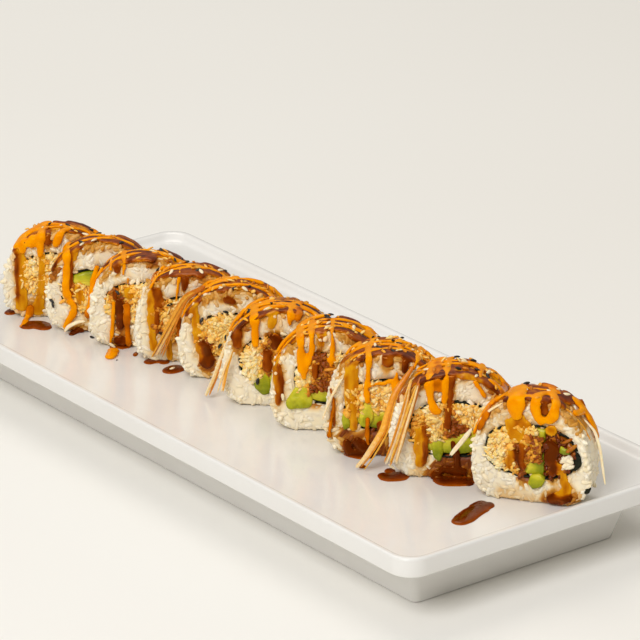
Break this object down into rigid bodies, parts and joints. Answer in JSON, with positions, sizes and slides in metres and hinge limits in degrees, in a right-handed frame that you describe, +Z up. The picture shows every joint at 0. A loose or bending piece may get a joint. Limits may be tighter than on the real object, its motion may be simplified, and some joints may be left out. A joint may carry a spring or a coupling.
{
  "type": "sauced sushi roll on a plate",
  "caption": "Row of cut sushi roll slices with crab and avocado, spicy mayonnaise and dark glaze, standing on a long white rectangular plate.",
  "frame": {"origin": "bottom centre of the whole, on the surface that the plate stands on", "axes": "+X along the plate's long side, towards the slice that is turned to the viewer; +Z up"},
  "size_m": [0.312, 0.13, 0.0652],
  "materials": {
    "porcelain": "white gloss glaze",
    "rice": "moist steamed rice, sauce lines on it",
    "nori": "dark roasted sheet",
    "crab": "shredded, moist",
    "glazed_crab": "soaked in dark glaze",
    "avocado": "soft cut fruit",
    "shred": "moist shreds",
    "glaze": "glossy thick sauce"
  },
  "bodies": {
    "root": {"plate": "porcelain", "rice_a": "rice", "nori_a": "nori", "crab_a": "crab", "avocado_a": "avocado", "rice_b": "rice", "nori_b": "nori", "crab_b": "crab", "avocado_b": "avocado", "rice_c": "rice", "nori_c": "nori", "crab_c": "crab", "avocado_c": "avocado", "rice_d": "rice", "nori_d": "nori", "crab_d": "crab", "avocado_d": "avocado", "rice_e": "rice", "nori_e": "nori", "crab_e": "crab", "avocado_e": "avocado", "rice_f": "rice", "nori_f": "nori", "crab_f": "crab", "avocado_f": "avocado", "rice_g": "rice", "nori_g": "nori", "crab_g": "crab", "avocado_g": "avocado", "rice_h": "rice", "nori_h": "nori", "crab_h": "crab", "avocado_h": "avocado", "rice_i": "rice", "nori_i": "nori", "crab_i": "crab", "avocado_i": "avocado", "rice_j": "rice", "nori_j": "nori", "crab_j": "crab", "avocado_j": "avocado", "glazed_crab_j": "glazed_crab", "shred_1": "shred", "shred_2": "shred", "shred_3": "shred", "shred_4": "shred", "shred_5": "shred", "shred_6": "shred", "shred_7": "shred", "shred_8": "shred", "sauce_pool_a": "glaze", "sauce_pool_c": "glaze", "sauce_pool_d": "glaze", "sauce_pool_h": "glaze", "sauce_pool_i": "glaze", "sauce_pool_j": "glaze"}
  },
  "joints": []
}
